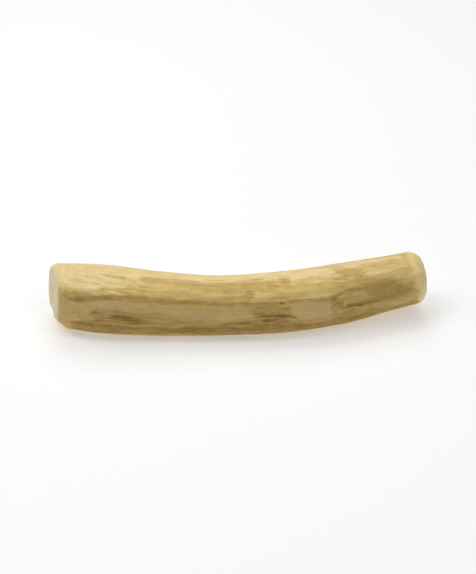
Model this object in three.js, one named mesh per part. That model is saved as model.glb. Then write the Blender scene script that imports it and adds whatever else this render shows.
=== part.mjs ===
// Coffee wood chew stick: a short peeled length of branch, gently bent, hand-shaved into soft flats,
// with a flat saw cut and a whittled bevel at each end.
// Millimetres, +Z up. The stick lies along X on the surface z = 0, and its bow points to -Y, the front.
// The origin is on that surface, under the middle of the stick's box.
import * as THREE from "three";

// Driving size: the distance between the two saw cuts, measured along X on the axis
const LENGTH = 190;

// How finely the skin is divided
const STEPS_AROUND = 72;
const STEPS_ALONG = 60;
const STEPS_BEVEL = 3;

// The branch at stations along it: distance from the left cut, place of the axis to the side (+ is to
// the back), gap under the wood (where it is below zero, the underside is worn flat), and half of the
// thickness
const STATIONS = [
  { at: 0, side: 0, gap: 1.0, half: 16.2 },
  { at: 24, side: -4.6, gap: -0.6, half: 17.4 },
  { at: 52, side: -9.6, gap: -0.8, half: 16.3 },
  { at: 84, side: -12.6, gap: -0.8, half: 15.2 },
  { at: 116, side: -12.9, gap: -0.8, half: 15.6 },
  { at: 146, side: -9.0, gap: 0.3, half: 15.4 },
  { at: 170, side: -4.3, gap: 3.2, half: 14.1 },
  { at: 190, side: 0, gap: 5.4, half: 13.4 },
];

// Soft flats of the cross-section: the angle that each one faces, in degrees from the top towards the
// front, and its distance from the axis as a share of the half thickness
const FLATS = [
  { angle: 10, share: 0.94 },
  { angle: 51, share: 1.05 },
  { angle: 92, share: 0.95 },
  { angle: 140, share: 1.0 },
  { angle: 184, share: 0.95 },
  { angle: 230, share: 1.0 },
  { angle: 276, share: 0.96 },
  { angle: 322, share: 1.01 },
];
const FLAT_CRISPNESS = 11; // higher gives sharper corners between the flats
const GRAIN_TWIST = 10; // degrees that the flats turn from one end to the other
const UNDERSIDE_SHARE = 0.96; // height of the axis over the underside, as a share of the half thickness

// Shallow flutes that run with the grain: how many round the stick, depth, turns along it, and where
// they start
const FLUTES = [
  { count: 5, depth: 0.22, turns: 0.9, start: 0.2 },
  { count: 8, depth: 0.14, turns: -1.3, start: 2.1 },
  { count: 11, depth: 0.1, turns: 2.2, start: 4.0 },
];

// Swells (+) and hollows (-) left by the peeling: where (at along the stick, angle round it), half size
// along and across the grain, height, and how far they lean from the axis in degrees
const RELIEF = [
  { name: "groove under the left shoulder", at: 18, angle: 61, long: 17, wide: 4.2, height: -1.1, lean: 0 },
  { name: "long groove under the shoulder", at: 62, angle: 58, long: 40, wide: 3.4, height: -0.7, lean: 0 },
  { name: "left shoulder ridge", at: 42, angle: 47, long: 48, wide: 4.4, height: 0.75, lean: 0 },
  { name: "pale band of the left front", at: 27, angle: 74, long: 32, wide: 6, height: 0.55, lean: -4 },
  { name: "dark hollow of the left front", at: 36, angle: 86, long: 16, wide: 4, height: -0.8, lean: 4 },
  { name: "low ridge of the left front", at: 30, angle: 105, long: 36, wide: 4, height: 0.5, lean: 3 },
  { name: "worn crest of the left top", at: 16, angle: 24, long: 22, wide: 8, height: 0.55, lean: 0 },
  { name: "grooves of the left top", at: 27, angle: 12, long: 16, wide: 3.4, height: -0.5, lean: 4 },
  { name: "tan hollow of the top", at: 52, angle: 8, long: 15, wide: 5, height: -0.5, lean: 0 },
  { name: "pale band of the middle front", at: 93, angle: 69, long: 19, wide: 7, height: 0.7, lean: 0 },
  { name: "trough of the middle top", at: 90, angle: 20, long: 34, wide: 5, height: -0.6, lean: 2 },
  { name: "ridge of the middle top", at: 96, angle: 38, long: 24, wide: 5, height: 0.5, lean: 2 },
  { name: "low hollow of the middle", at: 109, angle: 92, long: 17, wide: 5, height: -0.8, lean: 2 },
  { name: "pit beside the node", at: 114, angle: 57, long: 6, wide: 3.2, height: -0.8, lean: 0 },
  { name: "front swell of the node", at: 129, angle: 80, long: 14, wide: 10, height: 1.2, lean: 0 },
  { name: "top swell of the node", at: 133, angle: 2, long: 17, wide: 9, height: 0.9, lean: 0 },
  { name: "back swell of the node", at: 128, angle: 262, long: 16, wide: 11, height: 1.1, lean: 0 },
  { name: "hook behind the node", at: 141, angle: 64, long: 4, wide: 7, height: -0.7, lean: 0 },
  { name: "eye behind the node", at: 149, angle: 65, long: 11, wide: 4, height: 0.8, lean: 4 },
  { name: "groove over the eye", at: 150, angle: 50, long: 12, wide: 3.6, height: -0.7, lean: 6 },
  { name: "groove under the eye", at: 151, angle: 80, long: 14, wide: 3.6, height: -0.6, lean: 2 },
  { name: "scoop of the right front", at: 170, angle: 68, long: 18, wide: 7, height: -1.4, lean: 14 },
  { name: "low band of the right front", at: 168, angle: 103, long: 20, wide: 4.5, height: 0.6, lean: 4 },
  { name: "notch at the right rim", at: 181, angle: -14, long: 5, wide: 3.5, height: -0.5, lean: 0 },
  { name: "twig scar of the back", at: 58, angle: 268, long: 9, wide: 7, height: 1.3, lean: 0 },
  { name: "hollow of the twig scar", at: 58, angle: 268, long: 4, wide: 3.2, height: -1.2, lean: 0 },
  { name: "groove past the twig scar", at: 84, angle: 262, long: 22, wide: 4, height: -0.9, lean: -3 },
  { name: "left scoop of the back", at: 28, angle: 240, long: 20, wide: 6, height: -1.0, lean: 6 },
  { name: "right scoop of the back", at: 162, angle: 290, long: 18, wide: 6.5, height: -1.1, lean: -8 },
  { name: "high groove of the back", at: 104, angle: 312, long: 26, wide: 4, height: -0.7, lean: 2 },
  { name: "high ridge of the back", at: 40, angle: 306, long: 30, wide: 5, height: 0.6, lean: -2 },
  { name: "groove of the underside", at: 70, angle: 214, long: 26, wide: 4, height: -0.7, lean: 0 },
  { name: "low swell of the underside", at: 150, angle: 200, long: 18, wide: 7, height: 0.5, lean: 0 },
];

// Saw cuts: the direction that each cut faces, and how far in the section planes turn to meet it
const LEFT_CUT = new THREE.Vector3(-1, -0.19, 0.12).normalize();
const RIGHT_CUT = new THREE.Vector3(1, 0.06, 0.06).normalize();
const CUT_REACH = 28;

// Whittled bevels: width along the stick and inwards at its narrowest, what is added where it is
// widest, the angle of that place, and how closely the extra keeps to it
const LEFT_BEVEL = { along: 3.9, inward: 2.1, alongMore: 5.9, inwardMore: 5.0, widest: 177, focus: 6 };
const RIGHT_BEVEL = { along: 3.8, inward: 3.4, alongMore: 2.6, inwardMore: 1.7, widest: 0, focus: 1 };
const BEVEL_FLATNESS = 1.35; // 1 is a quarter ellipse and 2 a straight chamfer

const RELIEF_RADIUS = 16; // turns a relief's angle into a distance across the grain
const TANGENT_STEP = 1; // distance each way over which the axis's direction is measured

// Colour and sheen of the peeled wood
const WOOD = { color: 0xcfb77d, roughness: 0.6, metalness: 0 };

const smooth = (t) => THREE.MathUtils.smoothstep(t, 0, 1);

// Value of one station quantity at a distance along the stick, as a smooth curve through the stations.
function station(quantity, along) {
  const x = THREE.MathUtils.clamp(along, 0, LENGTH);
  const slope = (i) => {
    const before = STATIONS[Math.max(i - 1, 0)];
    const after = STATIONS[Math.min(i + 1, STATIONS.length - 1)];
    return (after[quantity] - before[quantity]) / (after.at - before.at);
  };
  const last = STATIONS.length - 2;
  const i = Math.min(last, STATIONS.findLastIndex((s) => s.at <= x));
  const [a, b] = [STATIONS[i], STATIONS[i + 1]];
  const span = b.at - a.at;
  const t = (x - a.at) / span;
  return (
    a[quantity] * (2 * t ** 3 - 3 * t ** 2 + 1) +
    slope(i) * span * (t ** 3 - 2 * t ** 2 + t) +
    b[quantity] * (3 * t ** 2 - 2 * t ** 3) +
    slope(i + 1) * span * (t ** 3 - t ** 2)
  );
}

// Point of the branch's axis.
function axisPoint(along) {
  const height = station("half", along) * UNDERSIDE_SHARE + station("gap", along);
  return new THREE.Vector3(along - LENGTH / 2, station("side", along), height);
}

// Plane of a cross-section: its origin and its up and front directions. Near an end it turns from
// square to the axis to parallel with the saw cut.
function sectionPlane(along) {
  const before = axisPoint(Math.max(along - TANGENT_STEP, 0));
  const after = axisPoint(Math.min(along + TANGENT_STEP, LENGTH));
  const tangent = after.sub(before).normalize();
  const left = smooth(1 - along / CUT_REACH);
  const right = smooth(1 - (LENGTH - along) / CUT_REACH);
  const normal = tangent
    .multiplyScalar(1 - left - right)
    .addScaledVector(LEFT_CUT, -left)
    .addScaledVector(RIGHT_CUT, right)
    .normalize();
  const up = new THREE.Vector3(0, 0, 1).addScaledVector(normal, -normal.z).normalize();
  const front = new THREE.Vector3().crossVectors(normal, up);
  return { origin: axisPoint(along), up, front };
}

// Soft polygon of the flats, as a share of the half thickness.
function flatsShare(along, angle) {
  const twist = GRAIN_TWIST * (along / LENGTH - 0.5);
  const sum = FLATS.reduce((total, flat) => {
    const facing = Math.cos(THREE.MathUtils.degToRad(angle - flat.angle - twist));
    return total + (Math.max(facing, 0) / flat.share) ** FLAT_CRISPNESS;
  }, 0);
  return sum ** (-1 / FLAT_CRISPNESS);
}

// Height of the flutes.
function flutesHeight(along, angle) {
  return FLUTES.reduce((total, flute) => {
    const drift = 2 * Math.PI * flute.turns * (along / LENGTH) + flute.start;
    return total + flute.depth * Math.sin(flute.count * THREE.MathUtils.degToRad(angle) + drift);
  }, 0);
}

// Height of the swells and hollows: each is a smooth oval bump that ends at its half sizes.
function reliefHeight(along, angle) {
  return RELIEF.reduce((total, bump) => {
    const turn = THREE.MathUtils.euclideanModulo(angle - bump.angle + 180, 360) - 180;
    const across = THREE.MathUtils.degToRad(turn) * RELIEF_RADIUS;
    const lean = THREE.MathUtils.degToRad(bump.lean);
    const withGrain = (along - bump.at) * Math.cos(lean) + across * Math.sin(lean);
    const overGrain = across * Math.cos(lean) - (along - bump.at) * Math.sin(lean);
    const reach = (withGrain / bump.long) ** 2 + (overGrain / bump.wide) ** 2;
    return reach < 1 ? total + bump.height * (1 - reach) ** 2 : total;
  }, 0);
}

// Distance from the axis to the skin.
function skinRadius(along, angle) {
  const body = station("half", along) * flatsShare(along, angle);
  return body + flutesHeight(along, angle) + reliefHeight(along, angle);
}

// How wide a bevel is at an angle round the stick.
function bevelAt(bevel, angle) {
  const turn = THREE.MathUtils.degToRad(angle - bevel.widest);
  const extra = (0.5 + 0.5 * Math.cos(turn)) ** bevel.focus;
  return {
    along: bevel.along + bevel.alongMore * extra,
    inward: bevel.inward + bevel.inwardMore * extra,
  };
}

// Point of the surface from its distance along, angle and distance in from the skin. The underside is
// worn flat where it would pass through the surface that the stick lies on.
function surfacePoint(along, angle, inward) {
  const { origin, up, front } = sectionPlane(along);
  const radius = skinRadius(along, angle) - inward;
  const turn = THREE.MathUtils.degToRad(angle);
  const point = origin
    .addScaledVector(up, radius * Math.cos(turn))
    .addScaledVector(front, radius * Math.sin(turn));
  point.z = Math.max(point.z, 0);
  return point;
}

// Rings of points from the left saw cut, over its bevel, along the skin and over the right bevel.
function makeRings() {
  const rings = [];
  const addRing = (place) => {
    const ring = [];
    for (let k = 0; k < STEPS_AROUND; k++) {
      const angle = (360 * k) / STEPS_AROUND;
      const left = bevelAt(LEFT_BEVEL, angle);
      const right = bevelAt(RIGHT_BEVEL, angle);
      ring.push(place(angle, left, right));
    }
    rings.push(ring);
  };
  const bevelShare = (t) => 1 - Math.sin((t * Math.PI) / 2) ** BEVEL_FLATNESS;
  for (let i = 0; i < STEPS_BEVEL; i++) {
    const t = i / STEPS_BEVEL;
    addRing((angle, left) =>
      surfacePoint(left.along * bevelShare(1 - t), angle, left.inward * bevelShare(t)),
    );
  }
  for (let i = 0; i <= STEPS_ALONG; i++) {
    const t = i / STEPS_ALONG;
    addRing((angle, left, right) =>
      surfacePoint(THREE.MathUtils.lerp(left.along, LENGTH - right.along, t), angle, 0),
    );
  }
  for (let i = STEPS_BEVEL - 1; i >= 0; i--) {
    const t = i / STEPS_BEVEL;
    addRing((angle, _, right) =>
      surfacePoint(LENGTH - right.along * bevelShare(1 - t), angle, right.inward * bevelShare(t)),
    );
  }
  return rings;
}

// Closed body: quads between the rings as pairs of triangles, and a fan over each saw cut.
function makeBody() {
  const rings = makeRings();
  const points = rings.flat();
  const faces = [];
  const corner = (ring, k) => ring * STEPS_AROUND + (k % STEPS_AROUND);
  for (let ring = 0; ring + 1 < rings.length; ring++) {
    for (let k = 0; k < STEPS_AROUND; k++) {
      const [a, b] = [corner(ring, k), corner(ring, k + 1)];
      const [c, d] = [corner(ring + 1, k + 1), corner(ring + 1, k)];
      faces.push(a, b, c, a, c, d);
    }
  }
  const leftCentre = points.push(axisPoint(0)) - 1;
  const rightCentre = points.push(axisPoint(LENGTH)) - 1;
  for (let k = 0; k < STEPS_AROUND; k++) {
    faces.push(leftCentre, corner(0, k + 1), corner(0, k));
    faces.push(rightCentre, corner(rings.length - 1, k), corner(rings.length - 1, k + 1));
  }
  const body = new THREE.BufferGeometry().setFromPoints(points);
  body.setIndex(faces);
  body.computeVertexNormals();
  return body;
}

const body = makeBody();
body.computeBoundingBox();
const middle = body.boundingBox.getCenter(new THREE.Vector3());
body.translate(-middle.x, -middle.y, -body.boundingBox.min.z);

const stick = new THREE.Mesh(body, new THREE.MeshStandardMaterial(WOOD));
stick.name = "stick";

const chewStick = new THREE.Group();
chewStick.add(stick);

export default chewStick;
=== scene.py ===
"""Coffee wood chew stick: the fine surface of a peeled length of branch, built over its plain solid."""
import math
from itertools import product

import bpy
import numpy as np
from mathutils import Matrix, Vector


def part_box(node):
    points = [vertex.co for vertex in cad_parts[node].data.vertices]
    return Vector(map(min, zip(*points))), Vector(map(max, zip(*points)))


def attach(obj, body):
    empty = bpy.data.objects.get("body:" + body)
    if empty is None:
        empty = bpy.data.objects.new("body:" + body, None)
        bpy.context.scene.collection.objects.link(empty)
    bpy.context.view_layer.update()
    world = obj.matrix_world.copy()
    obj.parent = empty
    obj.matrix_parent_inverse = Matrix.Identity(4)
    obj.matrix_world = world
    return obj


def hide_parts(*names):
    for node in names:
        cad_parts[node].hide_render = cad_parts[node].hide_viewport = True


bl_info = {
    "name": "Coffee Wood Chew Stick",
    "version": (1, 0, 0),
    "blender": (4, 5, 0),
    "location": "3D View > Sidebar > Chew Stick",
    "description": "Builds a peeled length of coffee branch with sawn and bevelled ends, and a plain stage",
    "category": "Add Mesh",
}

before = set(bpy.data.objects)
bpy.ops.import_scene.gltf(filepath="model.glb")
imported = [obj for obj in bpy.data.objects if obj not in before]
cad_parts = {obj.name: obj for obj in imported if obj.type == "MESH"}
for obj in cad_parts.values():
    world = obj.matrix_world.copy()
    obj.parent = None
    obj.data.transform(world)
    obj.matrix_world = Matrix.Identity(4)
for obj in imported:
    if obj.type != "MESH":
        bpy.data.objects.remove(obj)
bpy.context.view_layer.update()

MM = 0.001
NODE = "stick"

# Form of the branch, in millimetres and degrees. It repeats the solid's own values.
# Angles round the stick are 0 at the top and 90 at the front.
LENGTH = 190.0
# Stations along the branch: place, y of the axis, gap under the section and half thickness
STATIONS = [
    {"at": 0, "side": 0, "gap": 1.0, "half": 16.2},
    {"at": 24, "side": -4.6, "gap": -0.6, "half": 17.4},
    {"at": 52, "side": -9.6, "gap": -0.8, "half": 16.3},
    {"at": 84, "side": -12.6, "gap": -0.8, "half": 15.2},
    {"at": 116, "side": -12.9, "gap": -0.8, "half": 15.6},
    {"at": 146, "side": -9.0, "gap": 0.3, "half": 15.4},
    {"at": 170, "side": -4.3, "gap": 3.2, "half": 14.1},
    {"at": 190, "side": 0, "gap": 5.4, "half": 13.4},
]
# Shaved flats: the angle that each faces, and its distance as a share of the half thickness
FLATS = [(10, 0.94), (51, 1.05), (92, 0.95), (140, 1.0), (184, 0.95), (230, 1.0), (276, 0.96), (322, 1.01)]
FLAT_CRISPNESS = 11
# How far the grain turns over the length, and the share of the half thickness below the axis
GRAIN_TWIST = 10
UNDERSIDE_SHARE = 0.96
# Shallow flutes: how many round the section, depth, turns over the length, and start in radians
FLUTES = [
    {"count": 5, "depth": 0.22, "turns": 0.9, "start": 0.2},
    {"count": 8, "depth": 0.14, "turns": -1.3, "start": 2.1},
    {"count": 11, "depth": 0.1, "turns": 2.2, "start": 4.0},
]

# Swells (+) and hollows (-): at, angle, half length, half width, height and lean in degrees
RELIEF = [
    (18, 61, 17, 4.2, -1.1, 0),
    (62, 58, 40, 3.4, -0.7, 0),
    (42, 47, 48, 4.4, 0.75, 0),
    (27, 74, 32, 6, 0.55, -4),
    (36, 86, 16, 4, -0.8, 4),
    (30, 105, 36, 4, 0.5, 3),
    (16, 24, 22, 8, 0.55, 0),
    (27, 12, 16, 3.4, -0.5, 4),
    (52, 8, 15, 5, -0.5, 0),
    (93, 69, 19, 7, 0.7, 0),
    (90, 20, 34, 5, -0.6, 2),
    (96, 38, 24, 5, 0.5, 2),
    (109, 92, 17, 5, -0.8, 2),
    (114, 57, 6, 3.2, -0.8, 0),
    (129, 80, 14, 10, 1.2, 0),
    (133, 2, 17, 9, 0.9, 0),
    (128, 262, 16, 11, 1.1, 0),
    (141, 64, 4, 7, -0.7, 0),
    (149, 65, 11, 4, 0.8, 4),
    (150, 50, 12, 3.6, -0.7, 6),
    (151, 80, 14, 3.6, -0.6, 2),
    (170, 68, 18, 7, -1.4, 14),
    (168, 103, 20, 4.5, 0.6, 4),
    (181, -14, 5, 3.5, -0.5, 0),
    (58, 268, 9, 7, 1.3, 0),
    (58, 268, 4, 3.2, -1.2, 0),
    (84, 262, 22, 4, -0.9, -3),
    (28, 240, 20, 6, -1.0, 6),
    (162, 290, 18, 6.5, -1.1, -8),
    (104, 312, 26, 4, -0.7, 2),
    (40, 306, 30, 5, 0.6, -2),
    (70, 214, 26, 4, -0.7, 0),
    (150, 200, 18, 7, 0.5, 0),
]
# Radius at which an angle is brought to a distance round the stick
RELIEF_RADIUS = 16

# Ends: which way each saw cut faces, and how far from it the sections still turn with it
LEFT_CUT = (-1, -0.19, 0.12)
RIGHT_CUT = (1, 0.06, 0.06)
CUT_REACH = 28
# Bevels: width along the stick and inwards, how much wider they get towards their widest angle,
# and how closely that is gathered there
LEFT_BEVEL = {"along": 3.9, "inward": 2.1, "along_more": 5.9, "inward_more": 5.0, "widest": 177, "focus": 6}
RIGHT_BEVEL = {"along": 3.8, "inward": 3.4, "along_more": 2.6, "inward_more": 1.7, "widest": 0, "focus": 1}
BEVEL_FLATNESS = 1.35
# Distance on each side over which the axis's direction is taken
TANGENT_STEP = 1

# How finely the visible surface is divided
STEPS_AROUND = 288
STEPS_ALONG = 270
STEPS_BEVEL = 9
STEPS_CAP = 24

# Level of the wood's tone: 0 where it is palest, 1 where the darkest inner bark is left. On the front, the
# underside and in the grooves part of the darker level is painted shade.
# A bevel has one level away from the front and one at the front; the left bevel's darker front level is
# partly painted shade on its front and underside.
BASE_LEVEL = 0.3
LEFT_BEVEL_LEVEL = (0.05, 0.54)
RIGHT_BEVEL_LEVEL = (0.01, 0.04)
# The front of a bevel starts at this angle and ends half a turn on
FRONT_FROM = 25
FRONT_CRISPNESS = 1.6

# Patches of bark and of clean wood, and of painted shade and light where the groups below say so, each laid
# over the ones before it:
# at, angle, half length, half width, lean, level, softness of the rim
PATCHES = [
    # The whole top, front and underside; the front and underside are darker partly as painted shade
    (22, 6, 34, 12, 0, 0.15, 0.6),
    (88, -16, 46, 5.5, 0, 0.06, 0.6),
    (18, -18, 18, 2.2, 0, 0.04, 0.8),
    (168, -17, 20, 3.0, 0, 0.04, 0.8),
    (100, 84, 130, 9.2, 1, 0.55, 0.2),
    (95, 128, 120, 8, 0, 0.78, 0.6),
    # Tan bark over the middle of the top
    (53, 9, 11, 2.4, 1, 0.46, 0.3),
    (48, 11, 4.4, 2.2, 0, 0.52, 0.3),
    (88, 17, 30, 3.8, 2, 0.54, 0.25),
    (88, 29, 14, 1.6, 0, 0.64, 0.5),
    (68, 3, 12, 0.9, 3, 0.4, 0.5),
    (58, 2.5, 4.5, 1.0, 0, 0.46, 0.7),
    (104, 7, 9, 1.4, 4, 0.52, 0.5),
    (40, 6, 4, 2.4, 0, 0.04, 0.5),
    (54, 23, 11, 2.6, 0, 0.4, 0.6),
    (41, 21, 7, 2.2, 0, 0.32, 0.7),
    (60, 29, 20, 1.2, 1, 0.42, 0.5),
    (54, 37, 24, 1.4, 1, 0.56, 0.5),
    (48, 44, 18, 0.9, 0, 0.52, 0.6),
    (48, 27, 4, 1.0, 0, 0.5, 0.6),
    (33, 12, 9, 0.9, 7, 0.4, 0.6),
    (22, 19, 6, 0.7, 6, 0.38, 0.6),
    (27, 30, 7, 0.7, -8, 0.34, 0.6),
    (13, 30, 6, 1.2, 5, 0.28, 0.6),
    (15, 39, 10, 1.3, 0, 0.1, 0.6),
    (16, 47, 12, 0.9, 0, 0.34, 0.8),
    (33, 42, 8, 1.8, 0, 0.5, 0.6),
    (42, 42, 6, 1.2, 0, 0.56, 0.7),
    (85, 39.5, 4, 1.2, 0, 0.56, 0.7),
    (25, 29.5, 5, 0.8, 10, 0.06, 0.7),
    (26, 33.5, 6, 0.4, 10, 0.42, 0.8),
    (40, 38, 5, 1.2, 0, 0.52, 0.6),
    (72, 42, 14, 2.2, 0, 0.58, 0.5),
    (77, 37, 2.2, 0.8, 0, 0.28, 0.6),
    (80, 36, 5, 1.2, 0, 0.46, 0.7),
    (81, 45, 3, 1.0, 0, 0.54, 0.6),
    (84, 48, 4, 1.2, 0, 0.62, 0.7),
    (90, 40, 6, 2, 0, 0.54, 0.6),
    (109, 36, 7, 2.8, 4, 0.34, 0.6),
    (98.5, 35, 3, 2.6, 0, 0.7, 0.6),
    (99, 45, 2.6, 1.6, 0, 0.68, 0.7),
    (91, 46, 7, 1.8, 0, 0.56, 0.6),
    (108, 25, 6, 2.6, 0, 0.6, 0.5),
    (116.5, 9, 2.6, 2.9, -12, 0.52, 0.6),
    (117, 12, 1.8, 1.4, 0, 0.62, 0.8),
    (97, 0, 7, 1.2, 0, 0.32, 0.7),
    (119, -1, 3, 1.2, 0, 0.32, 0.8),
    (102, -2.5, 4, 0.7, 0, 0.4, 0.8),
    (82, -3, 5, 0.4, 0, 0.38, 0.8),
    (119, 22, 5, 2, 0, 0.54, 0.6),
    (131, 1, 12, 3.6, 0, 0.0, 0.35),
    (138, 2, 5, 1.8, 0, 0.0, 0.5),
    (129, 18, 10, 2.4, 0, 0.28, 0.6),
    (125, 22.5, 5, 1.0, 0, 0.48, 0.7),
    (129, 31.5, 18, 1.4, 2, 0.5, 0.6),
    (140, 26, 5, 2.6, 0, 0.44, 0.7),
    (126, 44, 26, 2.4, 0, 0.41, 0.35),
    (134, 38, 8, 0.7, 4, 0.42, 0.8),
    (112, 47.5, 6, 0.7, 0, 0.5, 0.7),
    (112, 40, 8, 1.2, 0, 0.46, 0.6),
    (169, 4, 14, 3.4, 0, 0.4, 0.6),
    (171, 18, 12, 2.2, 0, 0.36, 0.6),
    (151, 11, 6.5, 3.4, 6, 0.52, 0.6),
    (150, 25, 8, 2.8, 0, 0.63, 0.6),
    (155.5, 24, 2.6, 1.5, 0, 0.7, 0.9),
    (149.5, 27, 1.6, 0.7, 0, 0.36, 0.8),
    (152, -6, 4, 0.9, 8, 0.0, 0.6),
    (162, 24, 5.5, 1.0, 4, 0.24, 0.7),
    (181.5, -14, 2, 1.8, 0, 0.56, 0.7),
    (175, 38, 8, 2.8, 0, 0.46, 0.6),
    (158, 40, 14, 2.4, 0, 0.59, 0.6),
    (141, 34, 5, 1.2, 0, 0.54, 0.7),
    (146, 34, 6, 1.2, 0, 0.62, 0.7),
    # Paler patch on the upper slope of a groove: painted light against the slope's shade
    (149, 43.5, 4.5, 1.0, 0, 0.38, 0.8),
    # Front, from the left end to the right
    (17, 74, 18, 5, 0, 0.58, 0.5),
    (38, 66, 16, 2.4, 0, 0.48, 0.6),
    (62, 70, 20, 3.4, 0, 0.52, 0.5),
    (60, 92, 26, 2.8, 0, 0.68, 0.6),
    (24, 77, 5, 1.6, 0, 0.61, 0.9),
    (23.5, 83, 2.8, 1.3, -10, 0.93, 0.8),
    (26, 89, 3.6, 2.2, 20, 0.8, 0.9),
    (47, 86, 16, 3.6, 0, 0.7, 0.9),
    (33, 80, 7, 2.0, 0, 0.76, 0.9),
    (38, 77.5, 11, 0.5, 2, 0.8, 0.8),
    (44, 82, 10, 0.5, 0, 0.78, 0.8),
    (38, 87, 5, 0.6, 2, 0.9, 0.9),
    (39, 91, 7.2, 1.5, 1, 0.95, 0.9),
    (39.5, 89, 4.4, 0.4, 0, 0.96, 0.9),
    (39.5, 93.5, 5, 0.4, 0, 0.96, 0.9),
    (41, 91, 6, 0.25, 0, 0.7, 0.9),
    (40, 97, 7, 0.4, 0, 0.86, 0.9),
    (33, 93, 6, 0.4, 0, 0.8, 0.8),
    (91, 75, 9, 4.6, 0, 0.49, 0.5),
    (94, 96, 12, 1.3, -5, 0.8, 0.6),
    (94, 88, 6, 1.3, 0, 0.7, 0.8),
    (108.5, 75, 10, 5.6, 0, 0.69, 0.5),
    (103, 77, 2.4, 1.6, 0, 0.8, 0.7),
    (111, 85.5, 8, 1.9, 0, 0.96, 0.7),
    (107, 82, 2.6, 0.9, 0, 0.92, 0.8),
    (112.5, 84.5, 3.2, 0.8, 2, 1.0, 0.8),
    (114.5, 88.5, 3, 0.8, 0, 0.92, 0.8),
    (107, 95, 4, 1.2, 0, 0.9, 0.7),
    (106, 96, 1.6, 0.7, 0, 0.94, 0.8),
    (113, 100, 4, 0.7, 0, 0.86, 0.6),
    (118.5, 91, 1.2, 0.6, 0, 0.92, 0.8),
    (109, 90, 5, 0.5, 0, 0.7, 0.6),
    (113.3, 57, 1.5, 0.6, 0, 0.94, 0.6),
    (106, 61, 3, 0.5, 0, 0.76, 0.7),
    (121, 56.5, 6, 0.8, 3, 0.64, 0.7),
    (128, 76, 10, 4.8, 0, 0.43, 0.5),
    (131, 60.5, 6, 0.9, 3, 0.66, 0.6),
    # Groove under the front edge: darker bark in the hollow, and painted shade along the groove
    (14, 52.5, 11, 1.2, -1, 0.54, 0.6),
    (4, 53, 1.0, 1.2, 0, 0.66, 0.8),
    (14, 61, 9, 1.4, -3, 0.77, 0.6),
    (11.5, 62, 5, 0.8, -3, 0.86, 0.9),
    (22, 58, 6, 1.1, -4, 0.78, 0.8),
    (27, 55.5, 9, 1.2, -4, 0.74, 0.7),
    (41, 50, 8, 1.0, -2, 0.65, 0.7),
    (56, 51.5, 9, 1.3, 4, 0.69, 0.7),
    (69, 51.5, 9, 1.1, 0, 0.7, 0.7),
    (80, 52, 6, 1.2, 4, 0.68, 0.7),
    (91, 55.5, 9, 1.4, 1, 0.69, 0.7),
    (103, 57, 7, 0.9, 1, 0.67, 0.6),
    (34, 45.5, 4, 0.6, 6, 0.3, 0.6),
    (66, 45, 4, 0.6, 0, 0.44, 0.6),
    # The hook-shaped groove and the ridge inside it
    (138.5, 78, 2, 5, 0, 0.7, 0.9),
    (163, 52.5, 13, 2.4, 2, 0.62, 0.9),
    (166.5, 71, 13.5, 5.0, 7, 0.72, 0.7),
    (175, 80, 5.5, 3.2, 5, 0.72, 0.8),
    (138.8, 61, 1.6, 1.6, 0, 0.8, 0.8),
    (143, 54.5, 5, 0.8, -16, 0.76, 0.7),
    (151, 51.5, 7, 0.9, 2, 0.78, 0.8),
    (148.5, 67, 8, 2.1, 3, 0.62, 0.8),
    (148, 56.5, 5, 0.8, 2, 0.68, 0.8),
    (142, 80, 2, 1.2, 0, 0.72, 0.8),
    (153, 64, 2.4, 1.1, 0, 0.52, 0.9),
    (141, 74, 2, 1.2, 0, 0.76, 0.9),
    (151, 82.5, 8, 1.4, 0, 0.87, 0.6),
    (160, 83, 6, 1.0, 4, 0.78, 0.8),
    (173, 101, 9, 1.8, 3, 0.5, 0.6),
    (155, 94, 10, 1.4, 0, 0.62, 0.6),
    (146, 94, 4, 1.0, 0, 0.7, 0.8),
    (155, 104, 12, 1.6, 0, 0.7, 0.6),
    # Dark low edge: dark bark, and painted shade along the lowest edge, where the floor's light would
    # brighten it
    (28, 108, 22, 2.4, 0, 0.88, 0.5),
    (34, 99, 17, 1.0, 0, 0.78, 0.6),
    (13, 103.5, 8, 0.35, -9, 0.6, 0.8),
    (27, 101.5, 10, 0.4, -1, 0.6, 0.8),
    (50, 103, 18, 0.5, 0, 0.64, 0.7),
    (70, 112, 26, 1.8, 0, 0.85, 0.6),
    (109, 108, 11, 1.6, 0, 0.8, 0.6),
    (141, 109, 9, 1.4, 0, 0.78, 0.7),
    (129, 102, 8, 1.4, 0, 0.62, 0.8),
    (176, 102, 7, 2.2, 0, 0.5, 0.7),
    # Underside and back
    (60, 150, 30, 5, 3, 0.56, 0.5),
    (120, 160, 34, 6, -2, 0.4, 0.5),
    (160, 140, 16, 4, 0, 0.5, 0.6),
    (30, 190, 26, 6, 0, 0.3, 0.5),
    (88, 196, 30, 5, 2, 0.62, 0.4),
    (70, 214, 24, 2, 0, 0.76, 0.5),
    (150, 200, 20, 5, 0, 0.22, 0.5),
    (28, 240, 20, 4, 6, 0.66, 0.4),
    (100, 236, 36, 6, 2, 0.24, 0.5),
    (150, 246, 20, 3, 4, 0.48, 0.5),
    (58, 268, 12, 7, 0, 0.2, 0.5),
    (58, 268, 5, 3.8, 0, 0.84, 0.4),
    (58, 268, 2.4, 1.8, 0, 0.6, 0.5),
    (82, 262, 20, 1.8, -3, 0.72, 0.5),
    (128, 266, 16, 7, 0, 0.1, 0.5),
    (162, 290, 18, 3.8, -8, 0.7, 0.4),
    (22, 292, 22, 5, 0, 0.22, 0.5),
    (50, 310, 30, 3, -2, 0.4, 0.5),
    (104, 312, 26, 2.4, 2, 0.6, 0.5),
    (136, 318, 20, 3, 0, 0.2, 0.5),
    (178, 330, 10, 4, 0, 0.4, 0.6),
]

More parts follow.
